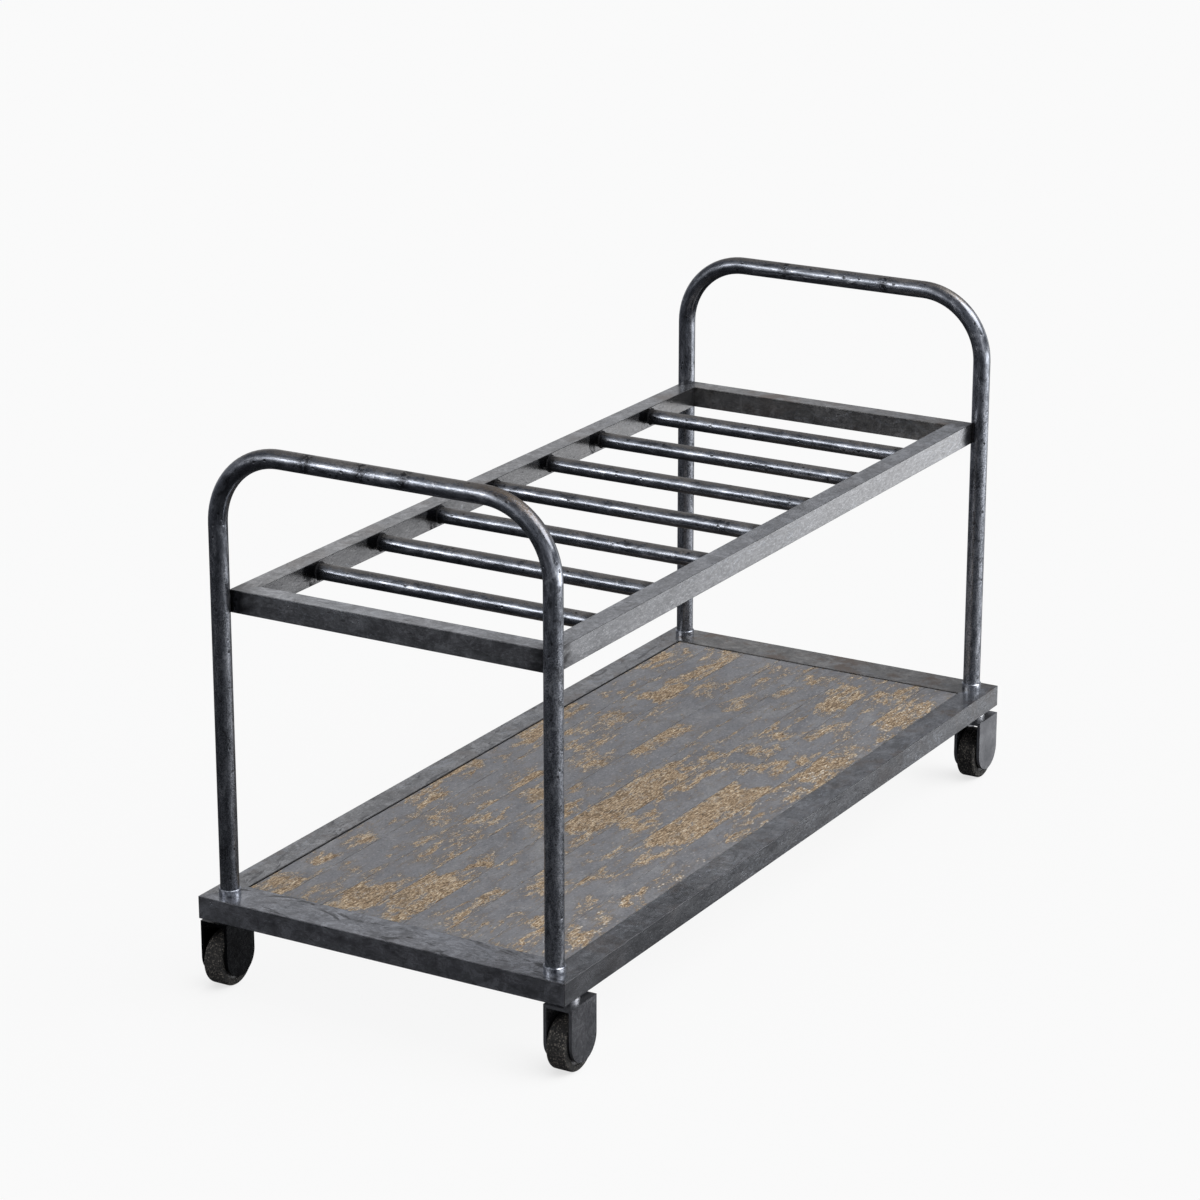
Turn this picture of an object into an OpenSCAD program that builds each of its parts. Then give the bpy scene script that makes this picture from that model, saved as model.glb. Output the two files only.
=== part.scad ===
// Low rolling scaffold: a boarded platform on casters, two bent-tube end hoops
// and a raised rack of tube rungs between them.
// Millimetres. +X is right, +Y is rear, +Z is up. The origin is on the floor under the centre.

/* [Platform] */
// Overall width of the platform
platform_w = 750; // [700:10:900]
// Overall length of the platform
platform_l = 1720; // [1600:20:2000]
// Depth of the platform's hollow rails
platform_h = 42; // [40:1:50]
// Width of the two side rails
side_rail_w = 51; // [50:1:56]
// Width of the two end rails
end_rail_w = 80; // [78:1:90]
// Wall of the platform's rails
rail_wall = 3; // [2:0.5:4]
// Radius of the rails' long edges, on the platform and on the rack
rail_edge = 1; // [0.5:0.25:1.5]

/* [Deck] */
// Pitch of the inner deck boards across the platform
plank_pitch = 83.5; // [80:0.5:86]
// Thickness of a deck board
plank_t = 18; // [15:1:20]
// How far the boards lie below the top of the rails
deck_drop = 1.5; // [0.5:0.5:3]
// Dark gap between the boards and the rails
deck_gap = 2.5; // [1:0.5:4]
// Gap between two boards
plank_gap = 0.6; // [0.4:0.1:1.5]
// Width of the eased long edges of a board
plank_chamfer = 0.8; // [0.4:0.1:1.5]

/* [Hoops] */
// Outer diameter of the bent tube and the posts
tube_d = 34; // [32:1:38]
// Wall of the bent tube
tube_wall = 3.2; // [2:0.2:4]
// Overall height above the floor
hoop_top = 1010; // [900:10:1200]
// Distance between the post centres, left to right
post_span_x = 666; // [640:2:700]
// Distance between the hoops' planes, front to rear
post_span_y = 1644; // [1540:4:1900]
// Radius of the bend, at the tube's centre
bend_r = 131; // [100:1:160]
// Outer diameter of the collar at a post's foot
collar_d = 39; // [38:0.5:42]
// Height of a collar
collar_h = 12; // [8:1:20]

/* [Rack] */
// Height of the rack's top above the floor
rack_top = 740; // [640:10:800]
// Width of a rack rail, seen from above
rack_rail_w = 40; // [36:1:44]
// Depth of a rack rail
rack_rail_h = 41; // [38:1:46]
// Wall of the rack's rails
rack_wall = 2.5; // [2:0.5:4]
// Outer diameter of a rung
rung_d = 30; // [24:1:34]
// Wall of a rung
rung_wall = 2.5; // [2:0.5:4]
// Distance between the first and last rung's centres
rung_span = 1180; // [1100:10:1240]

/* [Casters] */
// Diameter of a wheel
wheel_d = 100; // [96:1:104]
// Width of a tyre
wheel_w = 38; // [34:1:40]
// Width of a fork over its two cheeks
fork_w = 56; // [54:1:60]
// Length of a fork, front to rear
fork_l = 82; // [78:1:86]
// Plate thickness of a fork
fork_t = 6; // [4:0.5:6]
// Height of a fork's top above the floor
fork_top = 128; // [124:1:132]
// Gap between a fork and the platform, filled by the swivel bearing
swivel_gap = 10; // [8:1:14]
// Distance of a swivel axis from the platform's side
caster_inset_x = 22; // [22:1:24]
// Distance of a swivel axis from the platform's end
caster_inset_y = 54; // [50:1:56]

/* [Hidden] */
$fn = 96;

// Running clearance, on the radius
run_fit = 0.05;
eps = 0.1;

// Heights, from the floor up
axle_z = wheel_d / 2;
platform_z = fork_top + swivel_gap;
platform_top = platform_z + platform_h;
deck_top = platform_top - deck_drop;

// Deck
plank_count = 8;
bearer_count = 4;
bearer_w = 40;
deck_half_w = platform_w / 2 - side_rail_w - deck_gap;
deck_half_l = platform_l / 2 - end_rail_w - deck_gap;
bearer_z = platform_z + rail_wall;
bearer_h = deck_top - plank_t - bearer_z;
screw_r = 2;
screw_head_r = 4;
screw_head_h = 2.5;
screw_grip = 12;

// Hoops
tube_r = tube_d / 2;
post_x = post_span_x / 2;
post_y = post_span_y / 2;
hoop_z = hoop_top - tube_r;
collar_bevel = 1;

// Rack: a corner of its frame just meets each post's wall
rack_inset = 8;
rack_half_w = post_x - rack_inset;
rack_half_l = post_y - sqrt(tube_r * tube_r - rack_inset * rack_inset);
rung_count = 7;
rung_z = rack_top - rack_rail_h / 2;
rung_len = 2 * (rack_half_w - rack_rail_w);
weld_r = 4;
weld_inset = 1.5;
rung_weld = 2.5;

// Swivels
caster_x = platform_w / 2 - caster_inset_x;
caster_y = platform_l / 2 - caster_inset_y;
race_r = 17;
race_gap = 0.2;
race_h = (swivel_gap - race_gap) / 2;
stem_r = 10;
stem_tail_r = 8;
stem_head_r = 13;
stem_head_h = 4;
stem_top = platform_top - 9;
stem_tip = 2;
stem_hole_r = stem_r + 1;
ring_z = platform_top - 14;
ring_h = 2.3;
ring_out_r = 12.5;
ring_in_r = 8.5;
ring_play = 0.3;
ring_opening = 6;
block_gap = 0.5;

// Wheels
axle_r = 6;
bush_r = 9;
fork_inner_w = fork_w - 2 * fork_t;
fork_round_z = axle_z + 10;
hub_boss_r = 16;
hub_boss_w = fork_inner_w - 2;
hub_web_w = 12;
hub_rim_r = 30;
hub_rim_w = wheel_w - 4;
tyre_in_r = 37;
tyre_round = 5;

// Corners: name, side in X, side in Y
CORNERS = [
    ["front_left", -1, -1], ["front_right", 1, -1],
    ["rear_left", -1, 1], ["rear_right", 1, 1]
];
SIDES = [["front", -1], ["rear", 1]];

function spread(i, count, span) = -span / 2 + (i - 1) * span / (count - 1);

// ---------- shared shapes ----------

// Outline of a rail along X at the rear of a frame, mitred from its outer to its inner corners.
// The frame's outer corners are cut off a little, each rail taking the part up to its mitre.
module mitred_outline(half_w, half_l, side_w, end_w) {
    inner_w = half_w - side_w;
    inner_l = half_l - end_w;
    cut_w = half_w - rail_edge * side_w / (side_w + end_w);
    cut_l = half_l - rail_edge * end_w / (side_w + end_w);
    polygon([[-half_w + rail_edge, half_l], [half_w - rail_edge, half_l], [cut_w, cut_l],
        [inner_w, inner_l], [-inner_w, inner_l], [-cut_w, cut_l]]);
}

// Rectangle from the origin with rounded corners
module rounded_section(w, h, r) {
    translate([r, 0]) square([w - 2 * r, h]);
    translate([0, r]) square([w, h - 2 * r]);
    for (x = [r, w - r], y = [r, h - r]) translate([x, y]) circle(r = r);
}

// Hollow rail along X at the rear of a frame: its ends are cut on the mitre and stay open
module mitred_rail(half_w, half_l, side_w, end_w, h, wall) {
    inner_l = half_l - end_w;
    difference() {
        intersection() {
            linear_extrude(h) mitred_outline(half_w, half_l, side_w, end_w);
            translate([-half_w, inner_l, 0]) rotate([90, 0, 90]) linear_extrude(2 * half_w)
                rounded_section(end_w, h, rail_edge);
        }
        translate([-half_w - eps, inner_l + wall, wall])
            cube([2 * half_w + 2 * eps, end_w - 2 * wall, h - 2 * wall]);
    }
}

// The same rail turned to lie along Y, on the given side in X
module mitred_side_rail(side, half_w, half_l, side_w, end_w, h, wall) {
    rotate(-90 * side) mitred_rail(half_l, half_w, end_w, side_w, h, wall);
}

module at_caster(c) {
    translate([c[1] * caster_x, c[2] * caster_y, 0]) children();
}

module at_casters() {
    for (c = CORNERS) at_caster(c) children();
}

// Cylinder along X, centred on the wheel's axis
module along_axle(r, w) {
    translate([0, 0, axle_z]) rotate([0, 90, 0]) cylinder(r = r, h = w, center = true);
}

// ---------- platform ----------

module platform_stem_holes() {
    at_casters() translate([0, 0, platform_z - eps]) cylinder(r = stem_hole_r, h = rail_wall + 2 * eps);
}

module platform_end_rail(side) {
    color("dimgray") difference() {
        translate([0, 0, platform_z]) rotate(side > 0 ? 0 : 180)
            mitred_rail(platform_w / 2, platform_l / 2, side_rail_w, end_rail_w, platform_h, rail_wall);
        platform_stem_holes();
    }
}

module platform_side_rail(side) {
    color("dimgray") difference() {
        translate([0, 0, platform_z])
            mitred_side_rail(side, platform_w / 2, platform_l / 2, side_rail_w, end_rail_w,
                platform_h, rail_wall);
        platform_stem_holes();
    }
}

// Left and right edges of board i: the inner boards keep the pitch and the outer two take the rest
function plank_left(i) = i == 1 ? -deck_half_w : (i - 1 - plank_count / 2) * plank_pitch + plank_gap / 2;
function plank_right(i) = -plank_left(plank_count + 1 - i);
function bearer_y(j) = spread(j, bearer_count, 2 * deck_half_l - 3 * bearer_w);

module plank_screw_cores(i) {
    x = (plank_left(i) + plank_right(i)) / 2;
    for (j = [1:bearer_count]) translate([x, bearer_y(j), 0]) children();
}

module deck_plank(i) {
    a = plank_left(i);
    b = plank_right(i);
    c = plank_chamfer;
    z0 = deck_top - plank_t;
    z1 = deck_top;
    color("slategray") difference() {
        translate([0, deck_half_l, 0]) rotate([90, 0, 0]) linear_extrude(2 * deck_half_l)
            polygon([[a, z0], [b, z0], [b, z1 - c], [b - c, z1], [a + c, z1], [a, z1 - c]]);
        plank_screw_cores(i) translate([0, 0, z0 - eps]) cylinder(r = screw_r, h = screw_grip + eps);
    }
}

// Flat bars under the boards, welded between the side rails
module deck_bearers() {
    half = platform_w / 2 - side_rail_w;
    color("dimgray") difference() {
        for (j = [1:bearer_count])
            translate([-half, bearer_y(j) - bearer_w / 2, bearer_z]) cube([2 * half, bearer_w, bearer_h]);
        for (i = [1:plank_count]) plank_screw_cores(i)
            translate([0, 0, bearer_z - eps]) cylinder(r = screw_r, h = bearer_h + 2 * eps);
    }
}

module deck_screws() {
    color("silver") for (i = [1:plank_count]) plank_screw_cores(i) {
        translate([0, 0, bearer_z]) cylinder(r = screw_r, h = bearer_h + screw_grip);
        translate([0, 0, bearer_z - screw_head_h])
            cylinder(r1 = screw_head_r - 1, r2 = screw_head_r, h = screw_head_h);
    }
}

// Solid blocks inside the rails' corners, bored for the caster stems
module corner_blocks() {
    x0 = platform_w / 2 - side_rail_w + rail_wall + block_gap;
    x1 = platform_w / 2 - rail_wall;
    y0 = platform_l / 2 - end_rail_w + rail_wall;
    y1 = platform_l / 2 - rail_wall;
    z0 = platform_z + rail_wall;
    h = platform_h - 2 * rail_wall;
    color("gray") for (c = CORNERS) difference() {
        mirror([c[1] < 0 ? 1 : 0, 0, 0]) mirror([0, c[2] < 0 ? 1 : 0, 0])
            translate([x0, y0, z0]) cube([x1 - x0, y1 - y0, h]);
        at_caster(c) {
            translate([0, 0, z0 - eps]) cylinder(r = stem_r + run_fit, h = stem_top - z0 + 2);
            translate([0, 0, ring_z]) cylinder(r = ring_out_r, h = ring_h);
        }
    }
}

// ---------- hoops ----------

// One bent tube, solid, at the plane y = 0: two legs, two bends and the top
module hoop_sweep(r) {
    leg = hoop_z - bend_r - platform_top;
    top = 2 * (post_x - bend_r);
    for (s = [-1, 1]) {
        translate([s * post_x, 0, platform_top]) cylinder(r = r, h = leg);
        translate([s * (post_x - bend_r), 0, hoop_z - bend_r]) rotate([90, 0, s > 0 ? 0 : 180])
            rotate_extrude(angle = 90) translate([bend_r, 0]) circle(r = r);
    }
    translate([-top / 2, 0, hoop_z]) rotate([0, 90, 0]) cylinder(r = r, h = top);
}

module hoop(side) {
    color("darkslategray") translate([0, side * post_y, 0]) difference() {
        hoop_sweep(tube_r);
        hoop_sweep(tube_r - tube_wall);
    }
}

module post_collar(c) {
    r = collar_d / 2;
    color("lightsteelblue") translate([c[1] * post_x, c[2] * post_y, platform_top]) rotate_extrude()
        polygon([[tube_r, 0], [r, 0], [r, collar_h - collar_bevel], [r - collar_bevel, collar_h],
            [tube_r, collar_h]]);
}

// ---------- rack ----------

module rack_end_rail(side) {
    color("gray") translate([0, 0, rack_top - rack_rail_h]) rotate(side > 0 ? 0 : 180)
        mitred_rail(rack_half_w, rack_half_l, rack_rail_w, rack_rail_w, rack_rail_h, rack_wall);
}

module rack_side_rail(side) {
    color("gray") translate([0, 0, rack_top - rack_rail_h])
        mitred_side_rail(side, rack_half_w, rack_half_l, rack_rail_w, rack_rail_w, rack_rail_h, rack_wall);
}

module rack_rung(i) {
    color("darkslategray") translate([0, spread(i, rung_count, rung_span), rung_z]) rotate([0, 90, 0])
        difference() {
            cylinder(r = rung_d / 2, h = rung_len, center = true);
            cylinder(r = rung_d / 2 - rung_wall, h = rung_len + eps, center = true);
        }
}

// Weld in the crevice between a side rail and its post
module post_weld(c) {
    h = rack_rail_h - 2 * weld_inset;
    mirror([c[1] < 0 ? 1 : 0, 0, 0]) mirror([0, c[2] < 0 ? 1 : 0, 0])
        translate([0, 0, rack_top - rack_rail_h + weld_inset]) difference() {
            intersection() {
                translate([rack_half_w, rack_half_l, 0]) cylinder(r = weld_r, h = h);
                translate([rack_half_w, rack_half_l - 2 * weld_r, 0]) cube([weld_r, 2 * weld_r, h]);
            }
            translate([post_x, post_y, -eps]) cylinder(r = tube_r, h = h + 2 * eps);
        }
}

// Fillet weld round the end of a rung, on the given side in X
module rung_end_weld(i, side) {
    r = rung_d / 2;
    translate([side * rung_len / 2, spread(i, rung_count, rung_span), rung_z])
        rotate([0, -90 * side, 0]) rotate_extrude()
            polygon([[r, 0], [r + rung_weld, 0], [r, rung_weld]]);
}

module rack_welds() {
    color("darkslategray") {
        for (c = CORNERS) post_weld(c);
        for (i = [1:rung_count], side = [-1, 1]) rung_end_weld(i, side);
    }
}

// ---------- casters ----------

// Upper halves of the swivel bearings, against the underside of the rails
module swivel_races() {
    color("silver") at_casters() translate([0, 0, platform_z - race_h]) difference() {
        cylinder(r = race_r, h = race_h);
        translate([0, 0, -eps]) cylinder(r = stem_hole_r, h = race_h + 2 * eps);
    }
}

// Split rings sprung into the corner blocks: they hook into the groove of each stem
module stem_snap_rings() {
    color("silver") at_casters() translate([0, 0, ring_z]) difference() {
        cylinder(r = ring_out_r, h = ring_h);
        translate([0, 0, -eps]) cylinder(r = ring_in_r, h = ring_h + 2 * eps);
        translate([0, -ring_opening / 2, -eps]) cube([ring_out_r + 1, ring_opening, ring_h + 2 * eps]);
    }
}

// Flanged stem: a head under the fork, a flange as the lower race, and a grooved pin above
module caster_stem(c) {
    flange_z = fork_top + race_h;
    groove_r = ring_in_r - ring_play;
    color("silver") at_caster(c) rotate_extrude() polygon([
        [0, fork_top - fork_t - stem_head_h], [stem_head_r, fork_top - fork_t - stem_head_h],
        [stem_head_r, fork_top - fork_t], [stem_tail_r, fork_top - fork_t],
        [stem_tail_r, fork_top], [race_r, fork_top],
        [race_r, flange_z], [stem_r, flange_z],
        [stem_r, ring_z - ring_play], [groove_r, ring_z - ring_play],
        [groove_r, ring_z + ring_h + ring_play], [stem_r, ring_z + ring_h + ring_play],
        [stem_r, stem_top - stem_tip], [stem_r - stem_tip, stem_top],
        [0, stem_top]
    ]);
}

// One cheek of a fork, in the YZ plane: straight sides and a half-round lower end
module fork_cheek() {
    rotate([90, 0, 90]) linear_extrude(fork_t) union() {
        translate([-fork_l / 2, fork_round_z]) square([fork_l, fork_top - fork_round_z]);
        translate([0, fork_round_z]) circle(r = fork_l / 2);
    }
}

module caster_fork(c) {
    color([0.2, 0.2, 0.21]) at_caster(c) difference() {
        union() {
            translate([-fork_w / 2, 0, 0]) fork_cheek();
            translate([fork_w / 2 - fork_t, 0, 0]) fork_cheek();
            translate([-fork_w / 2, -fork_l / 2, fork_top - fork_t]) cube([fork_w, fork_l, fork_t]);
        }
        translate([0, 0, fork_top - fork_t - eps]) cylinder(r = stem_tail_r, h = fork_t + 2 * eps);
        along_axle(axle_r, fork_w + 2 * eps);
    }
}

module wheel_axle(c) {
    color([0.2, 0.2, 0.21]) at_caster(c) along_axle(axle_r, fork_w);
}

// Fixed sleeve between the cheeks: the hub turns on it
module wheel_bush(c) {
    color("peru") at_caster(c) difference() {
        along_axle(bush_r, fork_inner_w);
        along_axle(axle_r, fork_inner_w + 2 * eps);
    }
}

// Cast core of a wheel: boss, web and rim
module wheel_hub(c) {
    b = hub_boss_w / 2;
    w = hub_web_w / 2;
    r = hub_rim_w / 2;
    bore = bush_r + run_fit;
    color("dimgray") at_caster(c) translate([0, 0, axle_z]) rotate([0, 90, 0]) rotate_extrude() polygon([
        [bore, -b], [hub_boss_r, -b], [hub_boss_r, -w], [hub_rim_r, -w], [hub_rim_r, -r], [tyre_in_r, -r],
        [tyre_in_r, r], [hub_rim_r, r], [hub_rim_r, w], [hub_boss_r, w], [hub_boss_r, b], [bore, b]
    ]);
}

module wheel_tyre(c) {
    r1 = wheel_d / 2;
    f = tyre_round;
    h = wheel_w / 2;
    color([0.1, 0.1, 0.1]) at_caster(c) translate([0, 0, axle_z]) rotate([0, 90, 0]) rotate_extrude() {
        translate([tyre_in_r, -h]) square([r1 - f - tyre_in_r, 2 * h]);
        translate([tyre_in_r, -h + f]) square([r1 - tyre_in_r, 2 * (h - f)]);
        for (s = [-1, 1]) translate([r1 - f, s * (h - f)]) circle(r = f);
    }
}

// ---------- the assembly ----------

for (s = SIDES) platform_end_rail(s[1]);
platform_side_rail(-1);  // platform_rail_left
platform_side_rail(1);  // platform_rail_right
for (i = [1:plank_count]) deck_plank(i);
deck_bearers();
deck_screws();
corner_blocks();
swivel_races();
stem_snap_rings();
for (s = SIDES) hoop(s[1]);
for (c = CORNERS) post_collar(c);
for (s = SIDES) rack_end_rail(s[1]);
rack_side_rail(-1);  // rack_rail_left
rack_side_rail(1);  // rack_rail_right
for (i = [1:rung_count]) rack_rung(i);
rack_welds();
for (c = CORNERS) {
    caster_fork(c);
    caster_stem(c);
    wheel_axle(c);
    wheel_bush(c);
    wheel_hub(c);
    wheel_tyre(c);
}
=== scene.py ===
"""The looks of a low rolling scaffold: materials, floor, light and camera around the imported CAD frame.

Metres, in the CAD's own frame: +X is right, +Y is rear, +Z is up, and the floor is at Z = 0.
"""

import math

import bpy
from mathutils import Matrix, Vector


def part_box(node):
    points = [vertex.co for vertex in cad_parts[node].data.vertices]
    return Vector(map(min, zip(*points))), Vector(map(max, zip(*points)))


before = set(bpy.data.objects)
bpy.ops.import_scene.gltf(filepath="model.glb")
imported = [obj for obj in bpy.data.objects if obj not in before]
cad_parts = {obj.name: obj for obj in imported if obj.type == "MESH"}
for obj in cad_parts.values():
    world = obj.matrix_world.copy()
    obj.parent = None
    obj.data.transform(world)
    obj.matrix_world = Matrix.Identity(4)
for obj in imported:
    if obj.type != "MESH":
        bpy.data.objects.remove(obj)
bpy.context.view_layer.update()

# ---------- sizes read from the frame ----------

hoop_low, hoop_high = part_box("hoop_front")
rear_low, rear_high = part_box("hoop_rear")
TUBE_R = (hoop_high.y - hoop_low.y) / 2
POST_X = hoop_high.x - TUBE_R
HOOP_TOP = hoop_high.z - TUBE_R
HOOP_Y = {"front": (hoop_low.y + hoop_high.y) / 2, "rear": (rear_low.y + rear_high.y) / 2}
# The radius of a hoop's bends, at the tube's centre
BEND_R = 0.131

CORNERS = ("front_left", "front_right", "rear_left", "rear_right")
RUNGS = [f"rack_rung_{i}" for i in range(1, 8)]
RUNG_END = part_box("rack_rung_1")[1].x
RUNG_Y = [sum(corner.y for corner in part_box(rung)) / 2 for rung in RUNGS]
RACK_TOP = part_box("rack_rail_left")[1].z


# ---------- shader nodes ----------


class Graph:
    """The nodes of one material or world. Each method adds nodes and returns an output socket."""

    def __init__(self, tree):
        self.tree = tree
        tree.nodes.clear()

    def add(self, kind, settings=None, output=0, **inputs):
        """One node. An input is named by its socket, with _ for a space, or by in0, in1 and so on."""
        node = self.tree.nodes.new("ShaderNode" + kind)
        for key, value in (settings or {}).items():
            setattr(node, key, value)
        for key, value in inputs.items():
            is_index = key[:2] == "in" and key[2:].isdigit()
            self.feed(node.inputs[int(key[2:]) if is_index else key.replace("_", " ")], value)
        return node.outputs[output] if node.outputs else node

    def feed(self, socket, value):
        if isinstance(value, bpy.types.NodeSocket):
            self.tree.links.new(value, socket)
        elif isinstance(value, tuple) and len(value) == 3 and socket.type == "RGBA":
            socket.default_value = (*value, 1.0)
        else:
            socket.default_value = value

    def math(self, operation, a, b=0.0, clamp=False):
        return self.add("Math", {"operation": operation, "use_clamp": clamp}, in0=a, in1=b)

    def step(self, value, low, high, from_value=0.0, to_value=1.0):
        """A smooth step: from_value up to low, to_value from high on."""
        return self.add(
            "MapRange", {"interpolation_type": "SMOOTHSTEP"},
            in0=value, in1=low, in2=high, in3=from_value, in4=to_value,
        )

    def window(self, value, low, high, soft):
        """1 between low and high, falling to 0 within soft on both sides."""
        rise = self.step(value, low - soft, low + soft)
        return self.math("MULTIPLY", rise, self.step(value, high - soft, high + soft, 1.0, 0.0))

    def ramp(self, value, stops):
        """A colour ramp through (position, colour) stops."""
        node = self.tree.nodes.new("ShaderNodeValToRGB")
        self.tree.links.new(value, node.inputs[0])
        elements = node.color_ramp.elements
        while len(elements) < len(stops):
            elements.new(1.0)
        for element, (position, colour) in zip(elements, stops):
            element.position = position
            element.color = (*colour, 1.0)
        return node.outputs[0]

    def mix(self, share, a, b, blend="MIX"):
        node = self.tree.nodes.new("ShaderNodeMix")
        node.data_type = "RGBA"
        node.blend_type = blend
        self.feed(node.inputs[0], share)
        self.feed(node.inputs[6], a)
        self.feed(node.inputs[7], b)
        return node.outputs[2]

    def place(self):
        """The point in the CAD's frame at rest, in metres, which goes along with a piece that moves."""
        return self.add("TexCoord", output=3)

    def facing(self):
        """X, Y and Z of the surface's direction, in the piece's own frame."""
        return self.split(self.add("TexCoord", output=1))

    def split(self, vector):
        node = self.tree.nodes.new("ShaderNodeSeparateXYZ")
        self.tree.links.new(vector, node.inputs[0])
        return node.outputs

    def join(self, x, y, z):
        return self.add("CombineXYZ", in0=x, in1=y, in2=z)

    def stretch(self, vector, x, y, z, shift=0.0):
        """The vector scaled along each axis, and moved so that no two materials share a pattern."""
        return self.add(
            "Mapping", Vector=vector, Scale=(x, y, z), Location=(shift, shift * 0.7, shift * 1.3),
        )

    def move(self, vector, shift):
        """The vector moved by shift, so that two patterns of one material don't coincide."""
        return self.stretch(vector, 1.0, 1.0, 1.0, shift)

    def noise(self, vector, scale, detail=3.0, rough=0.55, twist=0.0):
        return self.add(
            "TexNoise", Vector=vector, Scale=scale, Detail=detail, Roughness=rough, Distortion=twist,
        )

    def cells(self, vector, scale, output=0, feature="F1"):
        return self.add("TexVoronoi", {"feature": feature}, output, Vector=vector, Scale=scale)

    def near(self, value, centre, width):
        """1 where value is centre, falling to 0 at width on both sides."""
        return self.step(self.math("ABSOLUTE", self.math("SUBTRACT", value, centre)), 0.0, width, 1.0, 0.0)

    def pits(self, vector, scale, share):
        """Small round pits in share of the cells: 1 in a pit's middle, 0 outside."""
        distance = self.cells(vector, scale)
        chosen = self.split(self.cells(vector, scale, 1))[0]
        hit = self.step(chosen, share - 0.01, share + 0.01, 1.0, 0.0)
        return self.math("MULTIPLY", hit, self.step(distance, 0.12, 0.38, 1.0, 0.0))

    def edge(self):
        """1 on rounded edges, 0 on faces that look straight along an axis."""
        x, y, z = (self.math("ABSOLUTE", part) for part in self.facing())
        flat = self.math("MAXIMUM", self.math("MAXIMUM", x, y), z)
        return self.step(flat, 0.90, 0.995, 1.0, 0.0)

    def bump(self, height, distance, strength=1.0, over=None):
        inputs = {"Height": height, "Distance": distance, "Strength": strength}
        if over is not None:
            inputs["Normal"] = over
        return self.add("Bump", **inputs)


def material(name, build, metallic, **sockets):
    """A material whose build(graph) gives its base colour, roughness and normal."""
    made = bpy.data.materials.new(name)
    made.use_nodes = True
    graph = Graph(made.node_tree)
    colour, roughness, normal = build(graph)
    shader = graph.add(
        "BsdfPrincipled", Base_Color=colour, Roughness=roughness, Normal=normal,
        Metallic=metallic, **sockets,
    )
    graph.add("OutputMaterial", Surface=shader)
    return made


def paint(nodes, made):
    """Gives each named CAD node the material."""
    for name in nodes:
        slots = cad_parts[name].material_slots
        if not slots:
            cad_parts[name].data.materials.append(made)
        for slot in slots:
            slot.material = made


# ---------- steel rails ----------

# Black for the rungs' reflections, painted on the inner face of the rack's left rail
RUNG_REFLECTION_BLACK = (0.012, 0.012, 0.014)


def post_distance(g, x, y):
    """Distance in plan from the nearest post's axis."""
    off_x = g.math("SUBTRACT", g.math("ABSOLUTE", x), POST_X)
    off_y = g.math("SUBTRACT", g.math("ABSOLUTE", y), HOOP_Y["rear"])
    return g.math("SQRT", g.math("ADD", g.math("POWER", off_x, 2.0), g.math("POWER", off_y, 2.0)))


def rung_reflection_shade(g, y):
    """1 on the stretches of rail in front of each rung, where the rungs' reflections are painted black."""
    reflected_rungs = 0.0
    for rung_y in RUNG_Y:
        reflected_rungs = g.math("MAXIMUM", reflected_rungs, g.window(y, rung_y - 0.060, rung_y + 0.010, 0.030))
    return reflected_rungs


def shaded(tint, factor):
    """The tint made darker or lighter by factor."""
    return tuple(min(1.0, channel * factor) for channel in tint)


def grained_grey(g, tint, cloud, grain, mottle):
    """The rail's grey: clouded, and speckled dark and light by grain and mottle."""
    dark, light = shaded(tint, 0.45), shaded(tint, 1.9)
    not_side = g.step(g.math("ABSOLUTE", g.facing()[0]), 0.2, 0.8, 1.0, 0.0)
    colour = g.ramp(cloud, [(0.30, shaded(tint, 0.74)), (0.50, tint), (0.72, shaded(tint, 1.25))])
    colour = g.mix(g.step(grain, 0.52, 0.64, 0.0, 0.55), colour, light)
    colour = g.mix(g.step(grain, 0.38, 0.48, 0.45, 0.0), colour, dark)
    colour = g.mix(g.math("MULTIPLY", not_side, g.step(mottle, 0.51, 0.60, 0.0, 0.55)), colour, light)
    return g.mix(g.math("MULTIPLY", not_side, g.step(mottle, 0.40, 0.49, 0.60, 0.0)), colour, dark)


def swept(g, colour, sweep, strength):
    """Dark and light sweeps over the colour."""
    dark = g.math("MULTIPLY", strength, g.step(sweep, 0.39, 0.425, 1.0, 0.0))
    light = g.math("MULTIPLY", strength, g.step(sweep, 0.595, 0.635, 0.0, 0.8))
    return g.mix(light, g.mix(dark, colour, (0.045, 0.047, 0.052)), (0.36, 0.375, 0.41))


def rusted(g, colour, point, up, stain):
    """Brown stains, mostly on the top and more towards the rear."""
    rust = g.math("MULTIPLY", g.step(g.noise(point, 11.0, 6.0, 0.7), 0.48, 0.66), stain, clamp=True)
    rust = g.math("MULTIPLY", rust, g.step(g.split(point)[1], 0.0, 0.8, 0.7, 1.5), clamp=True)
    rust = g.math("MULTIPLY", rust, g.math("ADD", 0.3, g.math("MULTIPLY", up, 0.7)))
    return g.mix(rust, colour, (0.17, 0.128, 0.100))


def inner_face_shade(g, colour, point, mottle, inner_shade):
    """The rail's inner face, with painted shade and the rungs' reflections painted black before each rung.
    """
    x, y, z = g.split(point)
    inward = g.step(g.facing()[0], 0.4, 0.9)
    colour = g.mix(g.math("MULTIPLY", inward, inner_shade), colour, (0.10, 0.102, 0.108))
    drop = g.math("SUBTRACT", RACK_TOP, z)
    reflected_rungs = g.math("MULTIPLY", rung_reflection_shade(g, y), g.step(drop, 0.012, 0.034, 0.62, 0.38))
    ragged = g.step(g.math("ADD", reflected_rungs, mottle), 0.86, 0.98)
    return g.mix(g.math("MULTIPLY", inward, ragged), colour, RUNG_REFLECTION_BLACK)


def post_joint_shade(g, colour, point, sweep):
    """The rail's ends, darkened with painted shade where they meet a post."""
    x, y, z = g.split(point)
    jitter = g.math("MULTIPLY", g.math("SUBTRACT", sweep, 0.5), 0.12)
    close = g.math("ADD", post_distance(g, x, y), jitter)
    return g.mix(g.step(close, 0.030, 0.075, 0.85, 0.0), colour, (0.015, 0.015, 0.017))


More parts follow.
